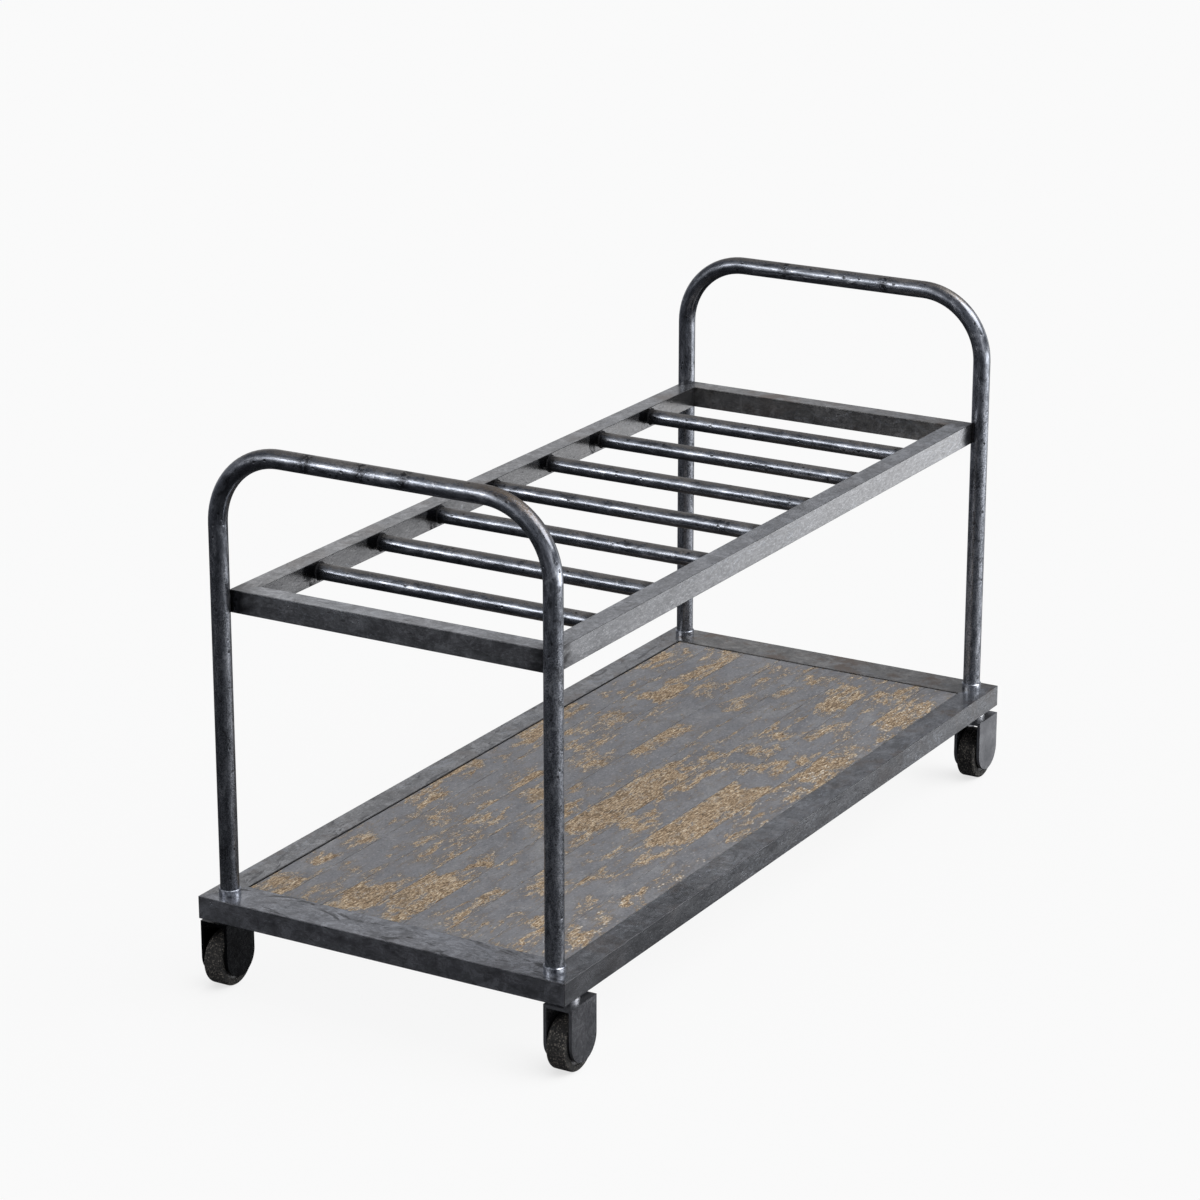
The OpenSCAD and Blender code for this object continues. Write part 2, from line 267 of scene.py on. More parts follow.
def steel_rail(tint, stain, seed, along, inner_shade=0.0, smears=0.35, joints=False):
    """Dark brushed steel, long along X or Y: blasted grain, curly brush marks, smears, pits and stains.

    The inner-face share darkens the inner face of the rack's left rail with painted shade and paints the
    rungs' reflections on it black, smears is how strong the dark and light sweeps are, and the post flag
    says that the rail is darkened with painted shade where it meets a post.
    """

    def build(g):
        point = g.place()
        squeeze = (0.35, 1.0, 1.0) if along == "X" else (1.0, 0.35, 1.0)
        run = g.stretch(point, *squeeze, shift=seed)
        grain = g.noise(run, 300.0, 5.0, 0.75)
        cloud = g.noise(run, 24.0, 7.0, 0.70)
        mottle = g.noise(g.move(point, seed + 6.1), 30.0, 8.0, 0.78, 0.6)
        sweep = g.noise(g.move(run, 5.3), 17.0, 8.0, 0.66, 2.8)
        curl = g.noise(g.move(run, 9.7), 34.0, 4.0, 0.6, 1.6)
        scratch = g.noise(g.move(run, 3.1), 75.0, 6.0, 0.75, 1.2)
        where = g.noise(g.move(run, 2.2), 9.0, 3.0, 0.5)
        up = g.step(g.facing()[2], 0.2, 0.8)

        on_top = g.math("ADD", 0.35, g.math("MULTIPLY", up, 0.65))
        colour = grained_grey(g, tint, cloud, grain, mottle)
        colour = swept(g, colour, sweep, g.math("MULTIPLY", on_top, smears))
        lines = g.math("MULTIPLY", g.near(curl, 0.5, 0.020), g.step(where, 0.48, 0.60, 0.0, 0.38))
        colour = g.mix(lines, colour, (0.55, 0.59, 0.66))
        colour = rusted(g, colour, point, up, stain)
        colour = g.mix(g.step(scratch, 0.68, 0.74, 0.0, 0.6), colour, (0.8, 0.82, 0.86))
        pitted = g.pits(run, 190.0, 0.10)
        colour = g.mix(g.math("MULTIPLY", pitted, 0.7), colour, (0.05, 0.05, 0.055))
        # painted shade on the inner face, and painted reflections of the rungs
        if inner_shade:
            colour = inner_face_shade(g, colour, point, mottle, inner_shade)
        # painted shade on the rail where it meets a post
        if joints:
            colour = post_joint_shade(g, colour, point, sweep)
        # painted shade: the rounded edges are darkened so that they catch no highlight
        edge_shade = g.edge()
        colour = g.mix(g.math("MULTIPLY", edge_shade, 0.8), colour, (0.03, 0.03, 0.033))

        rough = g.math("ADD", g.step(cloud, 0.3, 0.7, 0.15, 0.25), g.math("MULTIPLY", edge_shade, 0.4))
        rough = g.math("ADD", rough, g.math("MULTIPLY", lines, 0.12))
        height = g.math("ADD", g.math("MULTIPLY", grain, 0.55), g.math("MULTIPLY", curl, 0.8))
        height = g.math("SUBTRACT", height, g.math("MULTIPLY", pitted, 0.8))
        return colour, rough, g.bump(height, 0.0003, 0.5)

    return build


# ---------- bent tube and rungs ----------

# The black of the rungs' ends
RUNG_END_BLACK = (0.012, 0.012, 0.013)
# The colour of the tubes' painted shade on the left side and of their darkening towards the deck
TUBE_SHADE_AND_DARKENING = (0.03, 0.032, 0.037)
# Heights: the hoops' darkening towards the deck is full up to the first and has ended at the second
FOOT_DARK_FULL, FOOT_DARK_END = 0.40, 0.80


def tube_run(g, y_centre):
    """Coordinates that follow a hoop: distance along the tube, then the place across it."""
    x, y, z = g.split(g.place())
    over_x = g.math("SUBTRACT", g.math("ABSOLUTE", x), POST_X - BEND_R)
    over_z = g.math("SUBTRACT", z, HOOP_TOP - BEND_R)
    in_x = g.math("MAXIMUM", over_x, 0.0)
    in_z = g.math("MAXIMUM", over_z, 0.0)
    arc = g.math("MULTIPLY", g.math("ARCTAN2", in_z, in_x), BEND_R)
    past = g.math("SUBTRACT", g.math("MINIMUM", over_z, 0.0), g.math("MINIMUM", over_x, 0.0))
    side = g.math("SIGN", x)
    run = g.math("ADD", arc, past)
    radius = g.math("SQRT", g.math("ADD", g.math("POWER", in_x, 2.0), g.math("POWER", in_z, 2.0)))
    # the side is added so that the left half of the pattern isn't the right half mirrored
    across = g.math("ADD", radius, side)
    return g.join(run, across, g.math("SUBTRACT", y, y_centre))


def chip_ring(g, run, x, place, seed):
    """A ring of small dents round the tube at this place along X."""
    dents = g.step(g.noise(g.move(run, seed + place), 140.0, 2.0, 0.5), 0.43, 0.50)
    return g.math("MULTIPLY", dents, g.near(x, place, 0.019))


def worn_tube(g, streak, scuff, fine):
    """The tube's grey: streaked, scuffed light and dark, and finely speckled."""
    colour = g.ramp(streak, [
        (0.34, (0.11, 0.12, 0.14)), (0.52, (0.22, 0.235, 0.27)), (0.68, (0.42, 0.44, 0.49)),
    ])
    colour = g.mix(g.step(scuff, 0.54, 0.66, 0.0, 0.75), colour, (0.55, 0.57, 0.62))
    colour = g.mix(g.step(scuff, 0.36, 0.47, 0.75, 0.0), colour, (0.045, 0.048, 0.055))
    colour = g.mix(g.step(fine, 0.55, 0.66, 0.0, 0.25), colour, (0.60, 0.62, 0.66))
    return g.mix(g.step(fine, 0.36, 0.46, 0.38, 0.0), colour, (0.04, 0.043, 0.05))


def peppered(g, colour, pepper, share):
    """Dark and light pepper over share of the colour."""
    dark = g.math("MULTIPLY", share, g.step(pepper, 0.52, 0.58, 0.0, 0.60))
    light = g.math("MULTIPLY", share, g.step(pepper, 0.40, 0.46, 0.55, 0.0))
    return g.mix(light, g.mix(dark, colour, (0.055, 0.058, 0.066)), (0.48, 0.50, 0.55))


def tube_steel(run_of, seed, underside_shade, stain, stain_colour, chipped=(), left_side_shade=0.0, darker_towards_deck=0.0,
               dull_below=0.0):
    """Blackened tube: streaks along its length, scuffs, pits, painted shade below and brown dust on its
    top.

    run_of(g) gives coordinates along and across the tube, and stain(g) gives where it is stained, from 0
    to 1. chipped are places along X with a ring of chips. The left-side share is painted shade on the
    tube's left side, and the deck share is how much darker the tube is towards the deck. Below the height
    dull_below it is duller, smoother and peppered.
    """

    def build(g):
        x, y, z = g.split(g.place())
        run = run_of(g)
        streak = g.noise(g.stretch(run, 0.22, 1.0, 1.0, seed), 110.0, 6.0, 0.68)
        scuff = g.noise(g.stretch(run, 0.5, 1.0, 1.0, seed + 2.0), 50.0, 7.0, 0.72, 0.8)
        fine = g.noise(g.stretch(run, 0.45, 1.0, 1.0, seed + 4.0), 420.0, 4.0, 0.65)
        ripple = g.noise(g.stretch(run, 0.30, 1.0, 1.0, seed + 5.0), 60.0, 3.0, 0.5)
        pepper = g.noise(g.move(run, seed + 7.0), 430.0, 3.0, 0.65)
        dull = g.step(z, dull_below - 0.16, dull_below, 1.0, 0.0) if dull_below else 0.0
        pit = g.pits(g.stretch(run, 0.7, 1.0, 1.0, seed + 8.0), 130.0, 0.14)
        for place in chipped:
            pit = g.math("MAXIMUM", pit, chip_ring(g, run, x, place, seed))

        colour = peppered(g, worn_tube(g, streak, scuff, fine), pepper, dull)
        up = g.facing()[2]
        jitter = g.math("ADD", g.math("SUBTRACT", scuff, 0.5), g.math("SUBTRACT", fine, 0.5))
        dust_edge = g.math("ADD", up, g.math("MULTIPLY", jitter, 0.9))
        colour = g.mix(g.step(dust_edge, 0.66, 0.90, 0.0, 0.85), colour, (0.26, 0.24, 0.218))
        dark_dust = g.math("MULTIPLY", g.step(fine, 0.52, 0.66), g.step(up, 0.2, 0.7, 0.0, 0.5))
        colour = g.mix(dark_dust, colour, (0.07, 0.065, 0.06))
        # painted shade: the tube is darkened on its underside
        colour = g.mix(g.step(up, -0.60, 0.05, underside_shade, 0.0), colour, (0.02, 0.021, 0.024))
        colour = g.mix(g.math("MULTIPLY", pit, 0.85), colour, (0.02, 0.02, 0.023))
        # painted shade: the hoop is darkened on its left side
        if left_side_shade:
            colour = g.mix(g.step(x, -0.26, -0.10, left_side_shade, 0.0), colour, TUBE_SHADE_AND_DARKENING)
        # the hoop is darker towards the deck
        if darker_towards_deck:
            colour = g.mix(g.step(z, FOOT_DARK_FULL, FOOT_DARK_END, darker_towards_deck, 0.0), colour, TUBE_SHADE_AND_DARKENING)
        stained = g.math("MULTIPLY", stain(g), g.step(jitter, -0.16, 0.06, 0.3, 1.0))
        colour = g.mix(stained, colour, stain_colour)

        rough = g.math(
            "ADD", g.step(scuff, 0.35, 0.7, 0.15, 0.27), g.step(dust_edge, 0.66, 0.90, 0.0, 0.15),
        )
        rough = g.math("ADD", rough, g.math("MULTIPLY", stained, 0.30))
        rough = g.math("ADD", rough, g.math("MULTIPLY", dull, 0.10))
        smoothed = g.math("SUBTRACT", 1.0, g.math("MULTIPLY", dull, 0.60))
        height = g.math("MULTIPLY", g.math("ADD", ripple, g.math("MULTIPLY", scuff, 0.45)), smoothed)
        height = g.math("ADD", height, g.math("MULTIPLY", fine, 0.10))
        height = g.math("SUBTRACT", height, g.math("MULTIPLY", pit, 0.80))
        return colour, rough, g.bump(height, 0.0010, 0.55)

    return build


def bend_stain(g):
    """Brown on top of the hoops' right bends, a quarter as strong on the rear one."""
    x, y, z = g.split(g.place())
    on_bend = g.math("MULTIPLY", g.step(x, 0.14, 0.25), g.step(z, HOOP_TOP - 0.12, HOOP_TOP - 0.05))
    on_bend = g.math("MULTIPLY", on_bend, g.step(y, -0.2, 0.2, 1.0, 0.25))
    return g.math("MULTIPLY", on_bend, g.step(g.facing()[2], 0.30, 0.8, 0.0, 0.75))


def rung_ends(g):
    """The rungs' welded ends, blackened over their last few centimetres."""
    x, y, z = g.split(g.place())
    return g.step(g.math("ABSOLUTE", x), RUNG_END - 0.035, RUNG_END - 0.004, 0.0, 0.95)


def rung_run(g):
    """Coordinates that follow a rung: it runs along X already."""
    return g.place()


# ---------- deck boards ----------

# Where the paint is worn off each board, left to right: (front end, rear end, how bare, middle, half
# width). The ends are metres along Y. The middle and half width are across the board, from 0 at its left
# edge to 1 at its right.
WEAR = [
    [(-0.78, -0.70, 0.9, 0.5, 0.5), (-0.64, -0.57, 0.5, 0.4, 0.3), (-0.53, -0.44, 0.6, 0.5, 0.3),
     (-0.30, -0.21, 0.7, 0.5, 0.4), (-0.18, -0.03, 0.6, 0.0, 0.3), (0.10, 0.35, 0.8, 0.2, 0.4),
     (0.40, 0.44, 0.6, 0.5, 0.3), (0.59, 0.75, 0.5, 0.5, 0.5)],
    [(-0.63, -0.59, 0.5, 0.4, 0.3), (-0.36, -0.26, 0.5, 0.2, 0.4), (-0.25, -0.14, 0.4, 0.5, 0.4),
     (-0.14, -0.01, 0.6, 1.0, 0.3), (0.08, 0.17, 0.6, 1.0, 0.3), (0.19, 0.35, 0.6, 0.5, 0.4),
     (0.43, 0.55, 0.9, 0.75, 0.4), (0.59, 0.78, 0.8, 0.9, 0.4)],
    [(-0.78, -0.66, 1.0, 0.5, 0.6), (-0.53, -0.34, 0.4, 0.5, 0.5), (-0.33, -0.25, 0.6, 0.2, 0.4),
     (-0.17, -0.10, 0.6, 0.5, 0.4), (0.04, 0.115, 0.7, 0.5, 0.4), (0.49, 0.58, 0.5, 0.5, 0.4)],
    [(-0.78, -0.73, 0.9, 0.8, 0.3), (-0.73, -0.55, 1.0, 0.5, 0.6), (-0.54, -0.45, 0.6, 0.8, 0.3),
     (-0.285, -0.11, 0.6, 0.5, 0.4), (-0.085, -0.02, 0.4, 0.5, 0.4), (0.14, 0.34, 0.7, 0.1, 0.4),
     (0.45, 0.54, 0.5, 0.5, 0.4), (0.68, 0.76, 0.6, 0.5, 0.2)],
    [(-0.74, -0.57, 0.7, 0.85, 0.2), (-0.33, -0.25, 0.6, 0.9, 0.2), (-0.25, 0.10, 1.0, 0.5, 0.6),
     (0.12, 0.165, 0.7, 0.5, 0.4), (0.17, 0.24, 0.6, 0.95, 0.2), (0.665, 0.74, 0.6, 0.5, 0.3)],
    [(-0.71, -0.69, 0.6, 0.5, 0.2), (-0.52, -0.45, 0.6, 0.5, 0.3), (-0.195, -0.11, 0.7, 0.2, 0.4),
     (-0.03, 0.15, 0.6, 0.05, 0.3), (0.15, 0.23, 0.6, 0.95, 0.3), (0.255, 0.315, 0.8, 0.5, 0.5),
     (0.36, 0.40, 0.6, 0.5, 0.3), (0.57, 0.72, 0.9, 0.5, 0.4)],
    [(-0.78, -0.76, 0.7, 0.5, 0.5), (-0.685, -0.63, 0.7, 0.5, 0.4), (-0.45, -0.385, 0.6, 0.2, 0.4),
     (-0.33, -0.25, 0.6, 0.9, 0.3), (-0.23, 0.115, 1.0, 0.5, 0.6), (0.19, 0.24, 0.7, 0.2, 0.4),
     (0.255, 0.305, 0.7, 0.8, 0.4), (0.60, 0.755, 0.4, 0.5, 0.5)],
    [(-0.70, -0.63, 0.8, 0.5, 0.5), (-0.62, -0.57, 0.5, 0.5, 0.4), (-0.52, -0.47, 0.5, 0.5, 0.4),
     (-0.09, 0.17, 0.4, 0.5, 0.5), (0.17, 0.33, 0.9, 0.5, 0.5), (0.33, 0.42, 0.5, 0.5, 0.5),
     (0.45, 0.50, 0.6, 0.95, 0.3), (0.53, 0.70, 0.9, 0.5, 0.5)],
]
# The last board, at the right edge, whose chips are paler and stronger
PALE_BOARD = 7


def wear(g, index, point, across, shift, ragged, fine, stray):
    """How far the paint is worn, in ragged patches: above about 0.65 the wood is bare."""
    warp = g.split(g.add("TexNoise", output=1, Vector=g.stretch(point, 1.0, 0.55, 1.0, shift + 2.0),
                         Scale=26.0, Detail=5.0, Roughness=0.65))
    warped_y = g.math("ADD", g.split(point)[1], g.math("MULTIPLY", g.math("SUBTRACT", warp[0], 0.5), 0.16))
    warped_x = g.math("ADD", across, g.math("MULTIPLY", g.math("SUBTRACT", warp[1], 0.5), 1.5))
    patches = 0.0
    for front, rear, bare, middle, half in WEAR[index]:
        along = g.window(warped_y, front, rear, 0.018)
        beside = g.window(warped_x, middle - half, middle + half, 0.22)
        patch = g.math("MULTIPLY", g.math("MULTIPLY", along, beside), bare)
        patches = g.math("MAXIMUM", patches, patch)
    patches = g.math("ADD", patches, g.step(stray, 0.50, 0.61, 0.0, 0.58), clamp=True)
    worn = g.math("ADD", g.math("MULTIPLY", patches, 0.24), ragged)
    return g.math("ADD", worn, g.math("MULTIPLY", g.math("SUBTRACT", fine, 0.5), 0.42))


def grey_paint(g, point, shift, cloud, fine, bare_wood):
    """Cloudy grey paint, speckled and scraped, brown where it is thin and dark round bare wood."""
    colour = g.ramp(cloud, [
        (0.34, (0.125, 0.128, 0.141)), (0.5, (0.170, 0.171, 0.183)), (0.66, (0.225, 0.225, 0.232)),
    ])
    colour = g.mix(g.step(fine, 0.54, 0.64, 0.0, 0.70), colour, (0.36, 0.36, 0.36))
    colour = g.mix(g.step(fine, 0.36, 0.46, 0.75, 0.0), colour, (0.060, 0.060, 0.068))
    scraped = g.noise(g.stretch(point, 1.6, 0.25, 1.0, shift + 9.0), 90.0, 6.0, 0.7, 0.6)
    colour = g.mix(g.step(scraped, 0.61, 0.68, 0.0, 0.40), colour, (0.36, 0.36, 0.365))
    thin = g.step(bare_wood, 0.52, 0.65)
    speckled = g.math("MULTIPLY", thin, g.step(fine, 0.42, 0.58, 0.30, 0.90))
    colour = g.mix(speckled, colour, (0.135, 0.100, 0.070))
    lip = g.math("MULTIPLY", g.near(bare_wood, 0.622, 0.020), g.step(fine, 0.40, 0.55, 0.2, 0.75))
    return g.mix(lip, colour, (0.062, 0.052, 0.045))


def bare_timber(g, blend, cloud):
    """Flecked wood, clouded paler and darker."""
    colour = g.ramp(blend, [
        (0.41, (0.030, 0.022, 0.016)), (0.47, (0.175, 0.115, 0.066)),
        (0.53, (0.350, 0.245, 0.142)), (0.58, (0.70, 0.60, 0.45)),
    ])
    colour = g.mix(g.step(cloud, 0.55, 0.70, 0.0, 0.5), colour, (0.55, 0.47, 0.36))
    return g.mix(g.step(cloud, 0.34, 0.48, 0.6, 0.0), colour, (0.12, 0.088, 0.058))


def chips_and_specks(g, colour, point, shift, pale, bare_wood, fleck, stray):
    """A pale fringe round bare wood, worn and painted highlight, pale chips near it and brown specks of
    stray wear.
    """
    # partly painted highlight: the raised paint edge round bare wood is made pale
    worn_fringe_and_highlight = g.math("MULTIPLY", g.near(bare_wood, 0.655, 0.028), g.step(fleck, 0.44, 0.54, 0.10, 0.85))
    colour = g.mix(worn_fringe_and_highlight, colour, (0.60, 0.54, 0.45))
    chips = g.pits(g.stretch(point, 1.0, 0.6, 1.0, shift + 11.0), 150.0, 0.35)
    chips = g.math("MULTIPLY", chips, g.step(bare_wood, 0.50, 0.60, 0.0, 1.0 if pale else 0.65))
    colour = g.mix(chips, colour, (0.66, 0.61, 0.53) if pale else (0.52, 0.46, 0.37))
    specks = g.step(g.noise(g.stretch(point, 1.0, 0.6, 1.0, shift + 13.0), 150.0, 4.0, 0.6), 0.66, 0.71)
    specks = g.math("MULTIPLY", specks, g.step(stray, 0.42, 0.55, 0.0, 0.8))
    return g.mix(specks, colour, (0.36, 0.27, 0.175))


def dark_seam(g, across, ragged):
    """1 on the board's eased edges and less just beside them, broken up by ragged."""
    rim = g.near(g.math("ABSOLUTE", g.math("SUBTRACT", across, 0.5)), 0.5, 0.018)
    broken = g.step(ragged, 0.42, 0.56, 0.15, 0.75)
    return g.math("MULTIPLY", g.math("MAXIMUM", g.edge(), g.math("MULTIPLY", rim, 0.6)), broken)


def board(index, low, high):
    """One deck board, from its box: grey paint worn through to flecked wood where WEAR says."""

    def build(g):
        point = g.place()
        shift = 1.7 * index
        x = g.split(point)[0]
        across = g.add("MapRange", {"clamp": False}, in0=x, in1=low.x, in2=high.x, in3=0.0, in4=1.0)
        ragged = g.noise(g.stretch(point, 1.0, 0.28, 1.0, shift), 50.0, 11.0, 0.79)
        fine = g.noise(g.stretch(point, 1.0, 0.60, 1.0, shift + 6.0), 260.0, 6.0, 0.78)
        stray = g.noise(g.stretch(point, 1.0, 0.32, 1.0, shift + 7.0), 24.0, 5.0, 0.6, 0.8)
        cloud = g.noise(g.stretch(point, 1.0, 0.5, 1.0, shift + 4.0), 22.0, 9.0, 0.74, 0.6)
        fibre = g.noise(g.stretch(point, 1.0, 0.16, 1.0, shift + 1.0), 360.0, 6.0, 0.78)
        fleck = g.noise(g.stretch(point, 1.0, 0.55, 1.0, shift + 3.0), 400.0, 5.0, 0.82)
        blend = g.math("ADD", g.math("MULTIPLY", fibre, 0.55), g.math("MULTIPLY", fleck, 0.45))

        bare_wood = wear(g, index, point, across, shift, ragged, fine, stray)
        worn = g.step(bare_wood, 0.642, 0.658)
        paint_layer = grey_paint(g, point, shift, cloud, fine, bare_wood)
        colour = g.mix(worn, paint_layer, bare_timber(g, blend, cloud))
        colour = chips_and_specks(g, colour, point, shift, index == PALE_BOARD, bare_wood, fleck, stray)
        seam = dark_seam(g, across, ragged)
        colour = g.mix(g.math("MULTIPLY", seam, 0.70), colour, (0.06, 0.058, 0.058))

        rough = g.math("ADD", g.step(cloud, 0.3, 0.7, 0.42, 0.56), g.math("MULTIPLY", worn, 0.25))
        rough = g.math("ADD", rough, g.math("MULTIPLY", seam, 0.35), clamp=True)
        grooves = g.math("MULTIPLY", g.math("MULTIPLY", blend, worn), 1.2)
        relief = g.math("ADD", g.math("SUBTRACT", 1.0, worn), grooves)
        skin = g.math("ADD", g.math("MULTIPLY", cloud, 0.5), g.math("MULTIPLY", fine, 0.35))
        return colour, rough, g.bump(g.math("ADD", relief, skin), 0.0006, 0.7)

    return build


# ---------- small parts ----------


def worked_metal(dark, light, scale, seed, rough=(0.22, 0.4), relief=0.0008):
    """Hammered or turned metal, mottled between two colours: scale is how fine, relief is in metres."""

    def build(g):
        point = g.stretch(g.place(), 1.0, 1.0, 1.0, seed)
        dent = g.noise(point, scale, 3.0, 0.5)
        fine = g.noise(point, scale * 5.0, 3.0, 0.6)
        colour = g.ramp(g.noise(point, scale * 0.6, 5.0, 0.65), [(0.38, dark), (0.62, light)])
        roughness = g.step(fine, 0.3, 0.7, *rough)
        height = g.math("ADD", dent, g.math("MULTIPLY", fine, 0.15))
        return colour, roughness, g.bump(height, relief, 0.8)

    return build


def tyre_rubber(g):
    """Black rubber with grit pressed into its tread, and less of it on its sides."""
    point = g.place()
    grit = g.cells(point, 300.0)
    shade = g.split(g.cells(point, 300.0, 1))[1]
    lump = g.noise(point, 240.0, 5.0, 0.7)
    black = g.ramp(g.noise(point, 60.0, 4.0, 0.6), [
        (0.35, (0.010, 0.010, 0.010)), (0.7, (0.030, 0.028, 0.026)),
    ])
    speck = g.math("MULTIPLY", g.step(grit, 0.25, 0.60, 1.0, 0.0), g.step(shade, 0.25, 0.75, 0.1, 1.0))
    speck = g.math("MULTIPLY", speck, g.step(lump, 0.30, 0.55))
    sides = g.math("ABSOLUTE", g.facing()[0])
    speck = g.math("MULTIPLY", speck, g.step(sides, 0.80, 0.98, 1.0, 0.35))
    colour = g.mix(speck, black, (0.205, 0.185, 0.16))
    return colour, 0.8, g.bump(g.math("ADD", lump, g.math("MULTIPLY", grit, 0.7)), 0.0018, 0.9)


# ---------- materials onto the frame ----------

METAL = 0.9
SOLID_METAL = 1.0
NOT_METAL = 0.0

# How each rail looks: steel_rail says what the names mean, and seed keeps the patterns different
RAILS = {
    "rack_rail_front": dict(tint=(0.31, 0.315, 0.33), stain=0.15, seed=1.0, along="X", joints=True),
    "rack_rail_rear": dict(tint=(0.28, 0.275, 0.27), stain=0.75, seed=2.0, along="X", joints=True),
    "rack_rail_left": dict(
        tint=(0.30, 0.30, 0.305), stain=0.45, seed=3.0, along="Y", inner_shade=0.55, smears=0.30, joints=True,
    ),
    "rack_rail_right": dict(
        tint=(0.305, 0.31, 0.324), stain=0.15, seed=4.0, along="Y", smears=0.15, joints=True,
    ),
    "platform_rail_front": dict(tint=(0.27, 0.275, 0.295), stain=0.15, seed=5.0, along="X", smears=0.85),
    "platform_rail_rear": dict(tint=(0.225, 0.218, 0.208), stain=0.95, seed=6.0, along="X"),
    "platform_rail_left": dict(tint=(0.26, 0.26, 0.265), stain=0.45, seed=7.0, along="Y", smears=0.75),
    "platform_rail_right": dict(tint=(0.215, 0.22, 0.233), stain=0.60, seed=8.0, along="Y"),
}
# Each hoop's seed, its chipped places along X, the painted shade on its left side and its darker feet
HOOPS = {
    "front": dict(seed=11.0, chipped=(-0.14, -0.03, 0.055), left_side_shade=0.36, darker_towards_deck=0.30),
    "rear": dict(seed=17.0, chipped=(-0.10, 0.12), left_side_shade=0.30),
}
# The share of painted shade on the hoops' undersides
HOOP_UNDERSIDE_SHADE = 0.60
BEND_BROWN = (0.105, 0.078, 0.056)
# The share of painted shade on the rungs' undersides
RUNG_UNDERSIDE_SHADE = 0.88


def corner_nodes(*parts):
    """The names of these parts at all four corners."""
    return [f"{part}_{corner}" for part in parts for corner in CORNERS]


def paint_rails():
    for name, look in RAILS.items():
        paint([name], material(f"{name}_steel", steel_rail(**look), METAL))


def paint_tubes():
    for end, look in HOOPS.items():
        build = tube_steel(
            lambda g, y=HOOP_Y[end]: tube_run(g, y), underside_shade=HOOP_UNDERSIDE_SHADE, stain=bend_stain,
            stain_colour=BEND_BROWN, dull_below=HOOP_TOP - BEND_R, **look,
        )
        paint([f"hoop_{end}"], material(f"hoop_{end}_steel", build, METAL))
    rung = tube_steel(rung_run, seed=23.0, underside_shade=RUNG_UNDERSIDE_SHADE, stain=rung_ends, stain_colour=RUNG_END_BLACK)
    paint(RUNGS, material("rung_steel", rung, METAL))


def paint_deck():
    for i in range(len(WEAR)):
        name = f"deck_plank_{i + 1}"
        paint([name], material(f"{name}_paint", board(i, *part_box(name)), NOT_METAL))


def paint_casters():
    fork = worked_metal(
        dark=(0.19, 0.195, 0.21), light=(0.31, 0.315, 0.335), scale=30.0, seed=35.0,
        rough=(0.16, 0.26), relief=0.0002,
    )
    paint(corner_nodes("caster_fork", "wheel_axle"), material("fork_steel", fork, METAL))
    # painted shade: the front left caster's fork and axle are made near black, for the shade under the
    # platform
    black = worked_metal(
        dark=(0.004, 0.004, 0.005), light=(0.013, 0.014, 0.016), scale=30.0, seed=37.0,
        rough=(0.20, 0.30), relief=0.0002,
    )
    paint(["caster_fork_front_left", "wheel_axle_front_left"], material("fork_painted_shade", black, METAL))
    hub = worked_metal(
        dark=(0.06, 0.06, 0.06), light=(0.15, 0.15, 0.155), scale=150.0, seed=39.0, rough=(0.5, 0.7),
    )
    paint(corner_nodes("wheel_hub"), material("hub_iron", hub, METAL))
    bush = worked_metal(dark=(0.35, 0.20, 0.09), light=(0.62, 0.40, 0.20), scale=200.0, seed=41.0)
    paint(corner_nodes("wheel_bush"), material("bush_bronze", bush, SOLID_METAL))
    bearing = worked_metal(
        dark=(0.55, 0.56, 0.58), light=(0.85, 0.86, 0.88), scale=220.0, seed=43.0,
        rough=(0.2, 0.35), relief=0.0003,
    )
    paint(corner_nodes("caster_stem") + ["swivel_races", "stem_snap_rings"],
          material("bearing_steel", bearing, SOLID_METAL))
    paint(corner_nodes("wheel_tyre"), material("tyre_rubber", tyre_rubber, NOT_METAL))


def paint_fittings():
    collar = worked_metal(dark=(0.14, 0.15, 0.18), light=(0.60, 0.63, 0.69), scale=150.0, seed=31.0)
    paint(corner_nodes("post_collar"), material("collar_metal", collar, SOLID_METAL))
    # The welds are near black and barely shiny
    weld = worked_metal(
        dark=(0.006, 0.006, 0.007), light=(0.016, 0.016, 0.018), scale=260.0, seed=33.0, rough=(0.7, 0.9),
    )
    paint(["rack_welds"], material("weld_black", weld, NOT_METAL, Specular_IOR_Level=0.08))
    screw = worked_metal(dark=(0.45, 0.46, 0.47), light=(0.70, 0.71, 0.72), scale=300.0, seed=45.0)
    paint(["deck_screws"], material("screw_zinc", screw, SOLID_METAL))
    bearer = worked_metal(
        dark=(0.06, 0.06, 0.065), light=(0.12, 0.12, 0.125), scale=60.0, seed=47.0, rough=(0.5, 0.7),
    )
    paint(["deck_bearers", "corner_blocks"], material("bearer_steel", bearer, METAL))


# ---------- floor and light ----------

FLOOR_HALF = 30.0
# The floor's own glow in its painted shadow near what stands on it, where nothing does, and its small matt
# share
FLOOR_SHADED, FLOOR_CLEAR, FLOOR_MATT = 0.70, 0.915, 0.035
# How far off the floor looks for what stands on it, and the way it looks: up and towards the right rear
SHADOW_REACH = 0.17
SHADOW_LEAN = (0.50, 0.53, 0.69)
# What the camera sees behind the object
WHITE = 0.956

